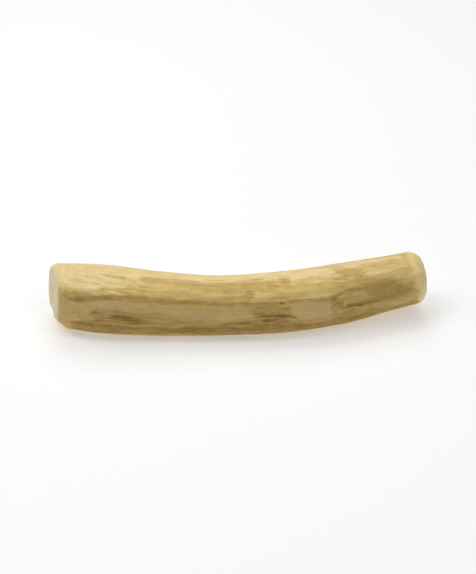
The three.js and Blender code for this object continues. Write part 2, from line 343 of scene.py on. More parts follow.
# Small patches scattered over the back and the underside, with the ranges that they are drawn from
SCATTERED = 110
SCATTER_SEED = 31
SCATTER_PLACES = (4, LENGTH - 8)
SCATTER_ANGLES = (127, 336)
SCATTER_HALF_LONG = (1.5, 9)
SCATTER_HALF_WIDE = (0.3, 0.45)
SCATTER_WIDENING = 0.1
SCATTER_LEAN = 4
SCATTER_LEVELS = [0.08, 0.2, 0.42, 0.52, 0.66, 0.8]
SCATTER_SOFTNESS = (0.6, 1.3)

# Where the wood is greyer, laid out in the same way with a share for the level: some weathering, and
# painted cool shade on the front, where most of these lie
GREYING_AND_COOL_SHADE = [
    (3, 101, 6, 6, 0, 1.0, 0.8),
    (18, 75, 20, 6, 0, 1.0, 0.8),
    (36, 66, 16, 3, 0, 0.9, 0.8),
    (66, 74, 22, 5, 0, 0.7, 0.8),
    (92, 75, 11, 5, 0, 0.8, 0.8),
    (128, 77, 11, 5.4, 0, 0.9, 0.8),
    (150, 67, 8, 2, 0, 0.7, 0.8),
    (172, 98, 12, 3, 0, 0.6, 0.8),
    (174, 38, 8, 3, 0, 0.6, 0.8),
    (85, 44, 9, 2.4, 0, 0.5, 0.8),
    (30, 200, 22, 6, 0, 0.7, 0.8),
    (118, 158, 30, 6, 0, 0.6, 0.8),
    (150, 250, 20, 5, 0, 0.6, 0.8),
    (90, 285, 26, 6, 0, 0.5, 0.8),
]

# Layers of noise: seed, and how far it is stretched along the grain and across it, in millimetres
BROAD = (1, 30.0, 7.0)
TONGUES = (2, 11.0, 1.3)
DRIFT_ALONG = (3, 5.0, 2.2)
DRIFT_AROUND = (4, 5.0, 2.2)
STREAKS = (5, 16.0, 0.9)
MOTTLES = (6, 5.0, 2.2)
FIBRES = (7, 14.0, 0.8)
LUMPS = (8, 5.0, 2.2)
BLOTCHES = (9, 2.6, 1.3)
RAGGED_EDGES = (10, 5.0, 2.2)
NICKS = (11, 2.6, 1.3)
NOISE_CELLS = 256
NOISE_GAIN = 1.5

# How much noise moves the level of the wood
BROAD_WEIGHT = 0.16
LEVEL_NOISE = ((STREAKS, 0.08), (MOTTLES, 0.09), (BLOTCHES, 0.06))

# How much noise moves the rim of a patch, less where the patch is narrower than RAGGED_WIDTH, and
# how far it drifts along the stick in millimetres and round it in degrees
TONGUE_WEIGHT = 0.36
NICK_WEIGHT = 0.25
RAGGED_WIDTH = 3
DRIFT_DISTANCE = 0.9
DRIFT_ANGLE = 1.4

# Where the skin's looks give way to a bevel's, in millimetres and shares of them
BEVEL_EDGE = 4.0
BEVEL_LEAD = 0.7
BEVEL_RAGGEDNESS = 0.5

# Share of the left and of the right bevel that has the look of the saw cut
SAWN_REACH = (0.6, 0.95)
SAWN_RAGGEDNESS = 0.2

# Level from which bark lies lower than clean wood, and how much more makes the whole ledge
LEDGE_LEVEL = 0.2
LEDGE_SPAN = 0.6
LUMP_SHARE = 0.5

# Growth layers that show on the bevels, round the pith's place in the section: up and to the front.
# Here and below, a rate is in radians to a millimetre.
PITH = (1.6, -1.1)
LAYER_RATE = 4.6
LAYER_WANDER = 2
LAYER_WEIGHT = 0.06

# Radial drying cracks of the saw cuts: angle, inner and outer share of the radius, half width
CRACKS = [(38, 0.1, 0.7, 0.12), (156, 0.16, 0.6, 0.09), (262, 0.12, 0.92, 0.14)]
CRACK_DEPTH = 0.4
CRACK_BEND = 5
CRACK_WAVES = 9
CRACK_TAPERS = (0.1, 0.35)
CRACK_TIP = 0.35

# Saw marks: height, how they wave, and the share of the radius over which they fade in
SAW_DEPTH = 0.05
SAW_RATE = 2.9
SAW_WAVE = 0.5
SAW_WAVE_RATE = 0.35
SAW_FADE = 0.125

# How far the marks and cracks are turned, in degrees: one way on the left cut, the other on the right
CUT_TURN = 50

# Kinds of sockets, and which sockets of the Mix node carry colours
VECTOR = "NodeSocketVector"
NUMBER = "NodeSocketFloat"
COLOR = "NodeSocketColor"
MIX_SOCKETS = {"first": 6, "second": 7, "result": 2}

# Looks of the wood. Four numbers are a range of values and the range that it is brought to.
# Fibres: width in millimetres, and how many times longer they are. Pores lie between them.
FINE_FIBRES = {"Width": 0.42, "Stretch": 22.0}
WIDE_FIBRES = {"Width": 1.5, "Stretch": 8.0}
END_FIBRES = {"Width": 0.35, "Stretch": 1.0}
PORE_WIDTH = 0.9
PORE_STRETCH = 6.0
PORE_RIM = (0.08, 0.26, 1.0, 0.0)
PORE_PLACES = (0.5, 0.62, 0.0, 1.0)
PORE_DEPTH = 0.5

# Handling: how much, stretches of its noise in millimetres, and its ranges
HANDLED = 1.0
RUBBED_NOISE = (11.0, 6.0)
SPECK_NOISE = (1.6, 0.8)
RUBBED = (0.4, 0.65, 0.0, 1.0)
SPECKS = (0.52, 0.72, 0.0, 1.0)
UNRUBBED = (0.6, 0.35, 0.0, 1.0)
DIRT_SHARE = 0.25
POLISH = 0.1

# End grain: rings, paler and darker zones and the pith, and rays, whose noise has its cells to a
# radian round the pith and to a millimetre out from it
RING_NOISE = (50.0, 8.0)
RING_WANDER = 2.6
RING_RATE = 3.9
RING_SHARPNESS = 3.0
RING_STRENGTH = (0.3, 0.7, 0.2, 0.75)
RING_HEIGHT = 0.25
RAY_NOISE = (26.0, 0.25)
RAYS = (0.5, 0.75, 0.0, 0.45)
ZONE_NOISE = (50.0, 4.5)
ZONES = (0.4, 0.62, 0.0, 0.45)
PITH_WANDER = 0.8
PITH_RIM = (0.7, 1.5, 0.6, 0.0)
END_PORES = 0.3
CRACK_DARKNESS = 0.8
END_ROUGHNESS = 0.8

# Skin: how much fibres move its level, and how it looks over its levels
NOISE_MIDDLE = 0.5
FINE_SHIFT = 0.26
WIDE_SHIFT = 0.22
GREY_SHARE = (0.3, 0.9, 0.75, 0.0)
SKIN_PORES = 0.35
RIM_WEAR = (0.0, 0.5, 1.0, 0.7)
SKIN_SPECULAR = 0.35
SKIN_ROUGHNESS = (0.0, 1.0, 0.5, 0.74)
FINE_HEIGHT = 0.6
WIDE_HEIGHT = 0.8

# Floor, in metres, and the camera's aim in millimetres
FLOOR_HALF = 4.0
FLOOR_DROP = 0.0001
FLOOR_ROUGHNESS = 0.9
FLOOR_SPECULAR = 0.1
GLOW_REACH = (0.8, 2.2)
AIM = (0.348, 6.706, 16.39)
SENSOR_WIDTH = 36

# Soft square lights: name, azimuth and elevation in degrees, share of the power
LIGHTS = (
    ("left_light", -90, 58, 1.0),
    ("back_light", 180, 58, 0.91),
    ("front_light", 45, 58, 0.58),
)
LIGHT_SIZE = 0.8
LIGHT_DISTANCE = 1.2


def smooth(share):
    """Eased step from 0 to 1."""
    share = np.clip(share, 0, 1)
    return share * share * (3 - 2 * share)


def unit(vectors):
    """Vectors brought to length 1."""
    vectors = np.asarray(vectors, float)
    return vectors / np.linalg.norm(vectors, axis=-1, keepdims=True)


def station(quantity, along):
    """One station quantity at distances along the stick, on a smooth curve through the stations."""
    at = np.array([s["at"] for s in STATIONS], float)
    value = np.array([s[quantity] for s in STATIONS], float)
    before = np.maximum(np.arange(len(at)) - 1, 0)
    after = np.minimum(np.arange(len(at)) + 1, len(at) - 1)
    slope = (value[after] - value[before]) / (at[after] - at[before])
    along = np.clip(along, 0, LENGTH)
    i = np.clip(np.searchsorted(at, along, side="right") - 1, 0, len(at) - 2)
    span = at[i + 1] - at[i]
    t = (along - at[i]) / span
    return (
        value[i] * (2 * t**3 - 3 * t**2 + 1)
        + slope[i] * span * (t**3 - 2 * t**2 + t)
        + value[i + 1] * (3 * t**2 - 2 * t**3)
        + slope[i + 1] * span * (t**3 - t**2)
    )


def axis_points(along):
    """Points of the branch's axis."""
    height = station("half", along) * UNDERSIDE_SHARE + station("gap", along)
    return np.stack([along - LENGTH / 2, station("side", along), height], -1)


def section_planes(along):
    """Origins, up directions and front directions of the cross-sections."""
    before = axis_points(np.maximum(along - TANGENT_STEP, 0))
    after = axis_points(np.minimum(along + TANGENT_STEP, LENGTH))
    left = smooth(1 - along / CUT_REACH)[..., None]
    right = smooth(1 - (LENGTH - along) / CUT_REACH)[..., None]
    normal = unit(
        unit(after - before) * (1 - left - right) - unit(LEFT_CUT) * left + unit(RIGHT_CUT) * right
    )
    up = unit(np.array([0.0, 0.0, 1.0]) - normal * normal[..., 2:])
    return axis_points(along), up, np.cross(normal, up)


def flats_share(along, angle):
    """Soft polygon of the shaved flats, as a share of the half thickness."""
    twist = GRAIN_TWIST * (along / LENGTH - 0.5)
    total = 0
    for facing, share in FLATS:
        toward = np.maximum(np.cos(np.radians(angle - facing - twist)), 0)
        total = total + (toward / share) ** FLAT_CRISPNESS
    return total ** (-1 / FLAT_CRISPNESS)


def flutes_height(along, angle):
    """Height of the shallow flutes."""
    total = 0
    for flute in FLUTES:
        drift = 2 * math.pi * flute["turns"] * along / LENGTH + flute["start"]
        total = total + flute["depth"] * np.sin(flute["count"] * np.radians(angle) + drift)
    return total


def oval_reach(along, angle, at, facing, half_long, half_wide, lean):
    """How far out a place is in an oval laid on the surface: 0 in its middle and 1 at its rim."""
    across = np.radians((angle - facing + 180) % 360 - 180) * RELIEF_RADIUS
    lean = math.radians(lean)
    with_grain = (along - at) * math.cos(lean) + across * math.sin(lean)
    over_grain = across * math.cos(lean) - (along - at) * math.sin(lean)
    return (with_grain / half_long) ** 2 + (over_grain / half_wide) ** 2


def relief_height(along, angle):
    """Height of the swells and hollows."""
    total = np.zeros(np.shape(along))
    for at, facing, half_long, half_wide, height, lean in RELIEF:
        reach = oval_reach(along, angle, at, facing, half_long, half_wide, lean)
        total += height * np.maximum(1 - reach, 0) ** 2
    return total


def skin_radius(along, angle):
    """Distance from the axis to the skin, without the fine surface."""
    body = station("half", along) * flats_share(along, angle)
    return body + flutes_height(along, angle) + relief_height(along, angle)


def bevel_at(bevel, angle):
    """Width of a bevel along the stick and inwards, at an angle round it."""
    extra = (0.5 + 0.5 * np.cos(np.radians(angle - bevel["widest"]))) ** bevel["focus"]
    return bevel["along"] + bevel["along_more"] * extra, bevel["inward"] + bevel["inward_more"] * extra


def bevel_share(t):
    """Share of a bevel's inward width that is left at a share t of its arc."""
    return 1 - math.sin(t * math.pi / 2) ** BEVEL_FLATNESS


def surface_points(along, angle, inward, fine):
    """Points of the surface, worn flat where they would pass through what the stick lies on."""
    origin, up, front = section_planes(along)
    radius = (skin_radius(along, angle) - inward + fine)[..., None]
    turn = np.radians(angle)[..., None]
    points = origin + up * radius * np.cos(turn) + front * radius * np.sin(turn)
    points[..., 2] = np.maximum(points[..., 2], 0)
    return points


def make_noise(seed):
    """A smooth noise of about -1 to 1 over points in space, the same on every run."""
    random = np.random.default_rng(seed)
    order = random.permutation(NOISE_CELLS)
    slopes = unit(random.normal(size=(NOISE_CELLS, 3)))

    def noise(points):
        cell = np.floor(points).astype(int)
        part = points - cell
        ease = part**3 * (part * (part * 6 - 15) + 10)
        total = 0
        for corner in product((0, 1), repeat=3):
            near = cell + np.array(corner)
            index = 0
            for axis in range(3):
                index = order[(index + near[..., axis]) % NOISE_CELLS]
            weight = np.prod(np.where(corner, ease, 1 - ease), axis=-1)
            total = total + weight * np.sum(slopes[index] * (part - corner), axis=-1)
        return total * NOISE_GAIN

    return noise


def grain_points(along, angle, radius):
    """The branch straightened out, in millimetres: along the grain, and the place in its section."""
    turn = np.radians(angle - GRAIN_TWIST * (along / LENGTH - 0.5))
    return np.stack([along, radius * np.cos(turn), radius * np.sin(turn)], -1)


def along_grain(layer, grain):
    """One layer of noise, stretched along the grain and across it."""
    seed, along, across = layer
    return make_noise(seed)(grain / np.array([along, across, across]))


def bevel_cut(along, angle, ragged):
    """Share of the way from the skin onto the left bevel and onto the right one."""
    left = bevel_at(LEFT_BEVEL, angle)[0] - along
    right = bevel_at(RIGHT_BEVEL, angle)[0] - LENGTH + along
    lead = BEVEL_LEAD + BEVEL_RAGGEDNESS * ragged
    return [smooth(inside / BEVEL_EDGE + lead) for inside in (left, right)]


def sawn_share(inward, angle, along, ragged):
    """How much of the sawn wood's look a place on a bevel has: 1 at the rim of a cut and 0 on the skin."""
    on_left = along < LENGTH / 2
    width = np.where(on_left, bevel_at(LEFT_BEVEL, angle)[1], bevel_at(RIGHT_BEVEL, angle)[1])
    reach = width * np.where(on_left, *SAWN_REACH)
    return smooth(1 - (width - inward) / reach + SAWN_RAGGEDNESS * ragged) * (inward > 0)


def lay_patches(patches, start, along, angle, grain):
    """A value over the surface, with each patch laid over the ones before it and its rim ragged."""
    value = start
    rough = TONGUE_WEIGHT * along_grain(TONGUES, grain) + NICK_WEIGHT * along_grain(NICKS, grain)
    drifted = along + DRIFT_DISTANCE * along_grain(DRIFT_ALONG, grain)
    turned = angle + DRIFT_ANGLE * along_grain(DRIFT_AROUND, grain)
    for at, facing, half_long, half_wide, lean, tone, softness in patches:
        reach = np.sqrt(oval_reach(drifted, turned, at, facing, half_long, half_wide, lean))
        ragged = rough * min(1, RAGGED_WIDTH / half_wide)
        share = smooth((1 - reach + ragged) / softness + 0.5)
        value = value + (tone - value) * share
    return value


def scattered_patches():
    """Small patches in random places, paler or darker than what they lie on."""
    random = np.random.default_rng(SCATTER_SEED)
    narrow, wide = SCATTER_HALF_WIDE
    patches = []
    for _ in range(SCATTERED):
        at = random.uniform(*SCATTER_PLACES)
        facing = random.uniform(*SCATTER_ANGLES)
        half_long = random.uniform(*SCATTER_HALF_LONG)
        half_wide = random.uniform(narrow, wide + SCATTER_WIDENING * half_long)
        lean = random.normal(0, SCATTER_LEAN)
        level = random.choice(SCATTER_LEVELS)
        softness = random.uniform(*SCATTER_SOFTNESS)
        patches.append((at, facing, half_long, half_wide, lean, level, softness))
    return patches


def wood_level(along, angle, grain):
    """Tone of the wood over the skin and the bevels, from the patches and the streaks."""
    start = BASE_LEVEL + BROAD_WEIGHT * along_grain(BROAD, grain)
    level = lay_patches(PATCHES + scattered_patches(), start, along, angle, grain)
    ragged = along_grain(RAGGED_EDGES, grain)
    toward_front = smooth(FRONT_CRISPNESS * np.sin(np.radians(angle - FRONT_FROM)))
    from_pith = np.hypot(grain[..., 1] - PITH[0], grain[..., 2] - PITH[1])
    layers = np.sin(from_pith * LAYER_RATE + LAYER_WANDER * ragged)
    cuts = bevel_cut(along, angle, ragged)
    for cut, (away, at_front) in zip(cuts, (LEFT_BEVEL_LEVEL, RIGHT_BEVEL_LEVEL)):
        bevel_level = away + (at_front - away) * toward_front + LAYER_WEIGHT * layers
        level = level + (bevel_level - level) * cut
    for layer, weight in LEVEL_NOISE:
        level = level + weight * along_grain(layer, grain)
    return np.clip(level, 0, 1)


def fine_height(grain, level, ledge_depth, fibre_depth):
    """Height of the fine surface: bark left in shallow hollows, and ridges of fibre."""
    ledge = smooth((level - LEDGE_LEVEL) / LEDGE_SPAN)
    ridges = along_grain(FIBRES, grain) + LUMP_SHARE * along_grain(LUMPS, grain)
    return fibre_depth * ridges - ledge_depth * ledge


def skin_grid():
    """Along, angle and inward of every point of the skin and the bevels, ring by ring."""
    angle = np.arange(STEPS_AROUND) * 360.0 / STEPS_AROUND
    left_along, left_inward = bevel_at(LEFT_BEVEL, angle)
    right_along, right_inward = bevel_at(RIGHT_BEVEL, angle)
    along = []
    inward = []
    for i in range(STEPS_BEVEL):
        t = i / STEPS_BEVEL
        along.append(left_along * bevel_share(1 - t))
        inward.append(left_inward * bevel_share(t))
    for i in range(STEPS_ALONG + 1):
        t = i / STEPS_ALONG
        along.append(left_along * (1 - t) + (LENGTH - right_along) * t)
        inward.append(np.zeros(STEPS_AROUND))
    for i in reversed(range(STEPS_BEVEL)):
        t = i / STEPS_BEVEL
        along.append(LENGTH - right_along * bevel_share(1 - t))
        inward.append(right_inward * bevel_share(t))
    along = np.array(along)
    return along, np.broadcast_to(angle, along.shape), np.array(inward)


def crack_depth(angle, share, turned):
    """How open the drying cracks are at a place on a saw cut, from 0 to 1."""
    depth = np.zeros(len(angle))
    for facing, inner, outer, half_width in CRACKS:
        bend = CRACK_BEND * math.sin(CRACK_WAVES * share + facing)
        away = np.radians((angle - facing - turned - bend + 180) % 360 - 180) * share * RELIEF_RADIUS
        taper = smooth((share - inner) / CRACK_TAPERS[0]) * smooth((outer - share) / CRACK_TAPERS[1])
        width = half_width * (CRACK_TIP + (1 - CRACK_TIP) * taper)
        depth = np.maximum(depth, np.exp(-((away / width) ** 2)) * taper)
    return depth


def cap_rings(rim_points, middle, normal, rim_grain, end, turned):
    """A saw cut from its rim to its middle: points, grain, cracks, grey and sawn share, ring by ring."""
    angle = np.arange(STEPS_AROUND) * 360.0 / STEPS_AROUND
    centre_grain = np.array([end, 0.0, 0.0])
    rows = []
    for step in range(1, STEPS_CAP + 1):
        share = 1 - step / STEPS_CAP
        grain = centre_grain + (rim_grain - centre_grain) * share
        crack = crack_depth(angle, share, turned)
        lean = math.radians(turned)
        over_saw = grain[:, 1] * math.cos(lean) + grain[:, 2] * math.sin(lean)
        along_saw = grain[:, 2] * math.cos(lean) - grain[:, 1] * math.sin(lean)
        saw = np.sin(over_saw * SAW_RATE + SAW_WAVE * np.sin(along_saw * SAW_WAVE_RATE))
        height = SAW_DEPTH * saw * smooth((1 - share) / SAW_FADE) - CRACK_DEPTH * crack
        points = middle + (rim_points - middle) * share + normal * height[:, None]
        rows.append((points, grain, crack, np.zeros(STEPS_AROUND), np.ones(STEPS_AROUND)))
    middle_row = tuple(part[:1] for part in rows[-1])
    return [list(column) for column in zip(*rows[:-1], middle_row)]


def grid_faces(rows, around):
    """Four-sided faces between rows of points that each run once round."""
    row, place = np.meshgrid(np.arange(rows - 1), np.arange(around), indexing="ij")
    following = (place + 1) % around
    corners = (row * around + place, row * around + following)
    return np.stack([*corners, corners[1] + around, corners[0] + around], -1).reshape(-1, 4).tolist()


def cap_faces(rim, first, around, turn):
    """Faces of a saw cut, from the first point of its rim inwards. A turn of -1 flips them."""
    faces = []
    previous = rim
    middle = first + (STEPS_CAP - 1) * around
    for current in range(first, middle, around):
        for i in range(around):
            j = (i + 1) % around
            faces.append([previous + i, previous + j, current + j, current + i][::turn])
        previous = current
    for i in range(around):
        faces.append([previous + i, previous + (i + 1) % around, middle][::turn])
    return faces


def over_the_solid(points, plain):
    """Points in metres, moved so that the plain surface has its box where the solid has its own."""
    low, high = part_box(NODE)
    offset = np.array([(low.x + high.x) / 2, (low.y + high.y) / 2, low.z]) / MM
    box_middle = (plain.min(0) + plain.max(0)) / 2
    box_middle[2] = 0
    return (points - box_middle + offset) * MM


def build_stick_mesh(settings):
    """The stick's mesh: skin and bevels as a grid, and each saw cut as rings round a middle point."""
    along, angle, inward = skin_grid()
    radius = skin_radius(along, angle) - inward
    grain = grain_points(along, angle, radius)
    level = wood_level(along, angle, grain)
    fine = fine_height(grain, level, settings.ledge_depth / MM, settings.fibre_depth / MM)
    plain = surface_points(along, angle, inward, 0).reshape(-1, 3)
    skin = surface_points(along, angle, inward, fine)
    rings, around = along.shape
    faces = grid_faces(rings, around)
    sawn_from = len(faces)
    points = [skin.reshape(-1, 3)]
    grains = [grain.reshape(-1, 3)]
    levels = [level.ravel()]
    greys = [lay_patches(GREYING_AND_COOL_SHADE, 0, along, angle, grain).ravel()]
    sawn = [sawn_share(inward, angle, along, along_grain(RAGGED_EDGES, grain)).ravel()]
    first = rings * around
    for rim, end, normal, turn in ((0, 0.0, LEFT_CUT, -1), (rings - 1, LENGTH, RIGHT_CUT, 1)):
        middle = axis_points(np.array([end]))
        parts = cap_rings(skin[rim], middle, unit(normal), grain[rim], end, CUT_TURN * turn)
        for whole, part in zip((points, grains, levels, greys, sawn), parts):
            whole.extend(part)
        faces.extend(cap_faces(rim * around, first, around, turn))
        first += (STEPS_CAP - 1) * around + 1
    points = over_the_solid(np.concatenate(points), plain)
    mesh = bpy.data.meshes.new("chew_stick")
    mesh.from_pydata(points.tolist(), [], faces)
    mesh.update()
    mesh.polygons.foreach_set("use_smooth", [True] * len(faces))
    mesh.polygons.foreach_set("material_index", [0] * sawn_from + [1] * (len(faces) - sawn_from))
    grain_data = mesh.attributes.new("grain", "FLOAT_VECTOR", "POINT").data
    grain_data.foreach_set("vector", np.concatenate(grains).ravel())
    for name, values in (("level", levels), ("greying_and_cool_shade", greys), ("sawn", sawn)):
        mesh.attributes.new(name, "FLOAT", "POINT").data.foreach_set("value", np.concatenate(values))
    return mesh


def direction(azimuth, elevation):
    """Way out from the stick at an azimuth, 0 to the front, and an elevation, in radians."""
    flat = math.cos(elevation)
    return Vector((math.sin(azimuth) * flat, -math.cos(azimuth) * flat, math.sin(elevation)))


class Nodes:
    """Short way to place and link the nodes of one tree."""

    def __init__(self, tree):
        self.tree = tree

    def add(self, kind, **properties):
        node = self.tree.nodes.new(kind)
        for name, value in properties.items():
            setattr(node, name, value)
        return node

    def put(self, value, socket):
        """Link an output to a socket, or set the socket to a plain value."""
        if isinstance(value, bpy.types.NodeSocket):
            self.tree.links.new(value, socket)
        else:
            socket.default_value = value

    def math(self, operation, first, second=0.0, clamp=False):
        node = self.add("ShaderNodeMath", operation=operation, use_clamp=clamp)
        self.put(first, node.inputs[0])
        self.put(second, node.inputs[1])
        return node.outputs[0]

    def span(self, value, low, high, new_low, new_high):
        """Value brought from one range to another, and held inside it."""
        node = self.add("ShaderNodeMapRange", clamp=True)
        for socket, item in zip(node.inputs, (value, low, high, new_low, new_high)):
            self.put(item, socket)
        return node.outputs[0]

    def stretched(self, vector, along, across):
        """Vector divided by one length along the grain and another across it."""
        node = self.add("ShaderNodeVectorMath", operation="DIVIDE")
        self.put(vector, node.inputs[0])
        combined = self.add("ShaderNodeCombineXYZ")
        for socket, item in zip(combined.inputs, (along, across, across)):
            self.put(item, socket)
        self.put(combined.outputs[0], node.inputs[1])
        return node.outputs[0]

    def noise(self, vector, detail, roughness=0.5):
        node = self.add("ShaderNodeTexNoise")
        self.put(vector, node.inputs["Vector"])
        node.inputs["Scale"].default_value = 1
        node.inputs["Detail"].default_value = detail
        node.inputs["Roughness"].default_value = roughness
        return node.outputs["Fac"]

    def mix(self, share, first, second):
        node = self.add("ShaderNodeMix", data_type="RGBA")
        self.put(share, node.inputs[0])
        self.put(first, node.inputs[MIX_SOCKETS["first"]])
        self.put(second, node.inputs[MIX_SOCKETS["second"]])
        return node.outputs[MIX_SOCKETS["result"]]

    def tint(self, share, first, color):
        """First colour, with a share of a plain colour mixed in."""
        return self.mix(share, first, (*color, 1))

    def scaled(self, value, factor):
        return self.math("MULTIPLY", value, factor)

    def attribute(self, name):
        return self.add("ShaderNodeAttribute", attribute_name=name)

    def ramp(self, value, colors):
        """Colours at even steps over a value from 0 to 1."""
        node = self.add("ShaderNodeValToRGB")
        elements = node.color_ramp.elements
        while len(elements) < len(colors):
            elements.new(0.5)
        for i, color in enumerate(colors):
            elements[i].position = i / (len(colors) - 1)
            elements[i].color = (*color, 1)
        self.put(value, node.inputs[0])
        return node.outputs[0]

    def group(self, tree, **values):
        node = self.add("ShaderNodeGroup", node_tree=tree)
        for name, value in values.items():
            self.put(value, node.inputs[name])
        return node


def new_group(name, inputs, outputs):
    """An empty node group with its named sockets, and its two end nodes."""
    tree = bpy.data.node_groups.new(name, "ShaderNodeTree")
    for direction_name, sockets in (("INPUT", inputs), ("OUTPUT", outputs)):
        for socket_name, kind in sockets:
            tree.interface.new_socket(socket_name, in_out=direction_name, socket_type=kind)
    nodes = Nodes(tree)
    return nodes, nodes.add("NodeGroupInput").outputs, nodes.add("NodeGroupOutput").inputs


def fibre_group():
    """Fibres of the wood: long streaks, short open pores and a height for both."""
    inputs = (("Grain", VECTOR), ("Width", NUMBER), ("Stretch", NUMBER))
    outputs = (("Streak", NUMBER), ("Pores", NUMBER), ("Height", NUMBER))
    nodes, given, out = new_group("fibre", inputs, outputs)
    length = nodes.math("MULTIPLY", given["Width"], given["Stretch"])
    fine = nodes.stretched(given["Grain"], length, given["Width"])
    streak = nodes.noise(fine, detail=3, roughness=0.6)
    pore_width = nodes.scaled(given["Width"], PORE_WIDTH)
    pore_length = nodes.scaled(pore_width, PORE_STRETCH)
    cells = nodes.add("ShaderNodeTexVoronoi")
    nodes.put(nodes.stretched(given["Grain"], pore_length, pore_width), cells.inputs["Vector"])
    cells.inputs["Scale"].default_value = 1
    pores = nodes.span(cells.outputs["Distance"], *PORE_RIM)
    sparse = nodes.span(nodes.noise(fine, detail=1), *PORE_PLACES)
    pores = nodes.math("MULTIPLY", pores, sparse)
    nodes.put(streak, out["Streak"])
    nodes.put(pores, out["Pores"])
    nodes.put(nodes.math("SUBTRACT", streak, nodes.scaled(pores, PORE_DEPTH)), out["Height"])
    return nodes.tree


def handling_group():
    """Marks of handling: rubbed, smoother places and a little grey dirt."""
    inputs = (("Grain", VECTOR), ("Amount", NUMBER))
    outputs = (("Polish", NUMBER), ("Dirt", NUMBER))
    nodes, given, out = new_group("handling", inputs, outputs)
    broad = nodes.noise(nodes.stretched(given["Grain"], *RUBBED_NOISE), detail=3)
    specks = nodes.noise(nodes.stretched(given["Grain"], *SPECK_NOISE), detail=3, roughness=0.7)
    polish = nodes.span(broad, *RUBBED)
    dirt = nodes.math("MULTIPLY", nodes.span(specks, *SPECKS), nodes.span(broad, *UNRUBBED))
    nodes.put(nodes.math("MULTIPLY", polish, given["Amount"]), out["Polish"])
    nodes.put(nodes.math("MULTIPLY", dirt, given["Amount"]), out["Dirt"])
    return nodes.tree


def end_grain_group(settings, fibre):
    """Wood cut across the grain: growth rings round an off-centre pith, rays and open pores."""
    nodes, given, out = new_group("end_grain", (("Grain", VECTOR),), (("Color", COLOR), ("Height", NUMBER)))
    grain = given["Grain"]
    from_pith = nodes.add("ShaderNodeVectorMath", operation="SUBTRACT")
    nodes.put(grain, from_pith.inputs[0])
    from_pith.inputs[1].default_value = (0, *PITH)
    parts = nodes.add("ShaderNodeSeparateXYZ")
    nodes.put(from_pith.outputs[0], parts.inputs[0])
    squares = [nodes.math("MULTIPLY", parts.outputs[i], parts.outputs[i]) for i in (1, 2)]
    radius = nodes.math("SQRT", nodes.math("ADD", *squares))
    wander = nodes.scaled(nodes.noise(nodes.stretched(grain, *RING_NOISE), detail=2), RING_WANDER)
    ring_place = nodes.scaled(nodes.math("ADD", radius, wander), RING_RATE)
    rings = nodes.span(nodes.math("SINE", ring_place), -1.0, 1.0, 0.0, 1.0)
    turn = nodes.math("ARCTAN2", parts.outputs[1], parts.outputs[2])
    ray_place = nodes.add("ShaderNodeCombineXYZ")
    nodes.put(nodes.scaled(turn, RAY_NOISE[0]), ray_place.inputs[0])
    nodes.put(nodes.scaled(radius, RAY_NOISE[1]), ray_place.inputs[1])
    rays = nodes.noise(ray_place.outputs[0], detail=2)
    dots = nodes.group(fibre, Grain=grain, **END_FIBRES).outputs
    zones = nodes.noise(nodes.stretched(grain, *ZONE_NOISE), detail=3)
    sharp_rings = nodes.math("POWER", rings, RING_SHARPNESS)
    ring_share = nodes.math("MULTIPLY", sharp_rings, nodes.span(zones, *RING_STRENGTH))
    color = nodes.tint(nodes.span(zones, *ZONES), (*settings.end_wood, 1), settings.clean_wood)
    color = nodes.tint(ring_share, color, settings.end_ring)
    color = nodes.tint(nodes.span(rays, *RAYS), color, settings.end_ring)
    pith = nodes.math("ADD", radius, nodes.scaled(zones, PITH_WANDER))
    color = nodes.tint(nodes.span(pith, *PITH_RIM), color, settings.brown_bark)
    color = nodes.tint(nodes.scaled(dots["Pores"], END_PORES), color, settings.tan_bark)
    nodes.put(color, out["Color"])
    nodes.put(nodes.math("ADD", nodes.scaled(rings, RING_HEIGHT), dots["Height"]), out["Height"])
    return nodes.tree


def new_material(name):
    """An empty node material with its shader."""
    material = bpy.data.materials.new(name)
    material.use_nodes = True
    return material, Nodes(material.node_tree), material.node_tree.nodes["Principled BSDF"]


def add_bump(nodes, shader, height, distance):
    """Feed a height into the shader's normal."""
    bump = nodes.add("ShaderNodeBump")
    bump.inputs["Strength"].default_value = 1
    bump.inputs["Distance"].default_value = distance
    nodes.put(height, bump.inputs["Height"])
    nodes.put(bump.outputs["Normal"], shader.inputs["Normal"])


